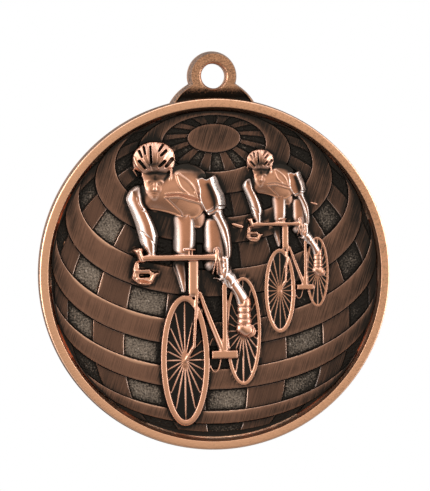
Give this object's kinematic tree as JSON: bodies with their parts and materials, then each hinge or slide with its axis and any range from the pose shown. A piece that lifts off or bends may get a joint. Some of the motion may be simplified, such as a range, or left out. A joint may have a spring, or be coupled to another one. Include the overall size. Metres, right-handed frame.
{
  "type": "sports finisher medal",
  "caption": "Round antique-copper relief medal with a hanging eyelet, raised rim, globe field of latitude bands and two racing cyclists.",
  "frame": {"origin": "centre of the eyelet hole, half-way between the rim's front plane and the back plane", "axes": "+Z from the disc's centre up to the eyelet, -Y out of the decorated front, +X to the right as seen from the front"},
  "size_m": [0.05, 0.0047, 0.0566],
  "materials": {
    "copper": "antique copper plate, satin and rubbed bright on the high spots",
    "brushed_bronze": "dark copper plate with fine upright brushing",
    "dark_bronze": "dark copper plate, satin",
    "patina": "blackened, matt, finely stippled"
  },
  "bodies": {
    "root": {"back_plate": "dark_bronze", "rim": "copper", "eyelet_lug": "dark_bronze", "eyelet_collar": "copper", "latitude_bands": "brushed_bronze", "smooth_cells": "brushed_bronze", "stippled_cells": "patina", "polar_cap": "brushed_bronze", "front_helmet": "copper", "front_head": "copper", "front_jersey": "copper", "front_left_arm": "copper", "front_right_sleeve": "copper", "front_right_forearm": "copper", "front_left_hand": "copper", "front_right_hand": "copper", "front_left_thigh": "copper", "front_left_shin": "copper", "front_right_thigh": "copper", "front_right_shin": "copper", "front_sock": "copper", "front_shoe": "copper", "front_saddle": "copper", "front_handlebar": "copper", "front_left_brake": "copper", "front_right_brake": "copper", "front_computer": "copper", "front_frame": "copper", "front_fork": "copper", "front_crank": "copper", "front_chainring": "copper", "front_bike_front_wheel": "copper", "front_bike_rear_wheel": "copper", "rear_helmet": "copper", "rear_head": "copper", "rear_jersey": "copper", "rear_left_arm": "copper", "rear_right_sleeve": "copper", "rear_right_forearm": "copper", "rear_left_hand": "copper", "rear_right_hand": "copper", "rear_left_thigh": "copper", "rear_left_shin": "copper", "rear_right_thigh": "copper", "rear_right_shin": "copper", "rear_sock": "copper", "rear_shoe": "copper", "rear_saddle": "copper", "rear_handlebar": "copper", "rear_left_brake": "copper", "rear_right_brake": "copper", "rear_computer": "copper", "rear_frame": "copper", "rear_fork": "copper", "rear_crank": "copper", "rear_chainring": "copper", "rear_bike_front_wheel": "copper", "rear_bike_rear_wheel": "copper"}
  },
  "joints": []
}
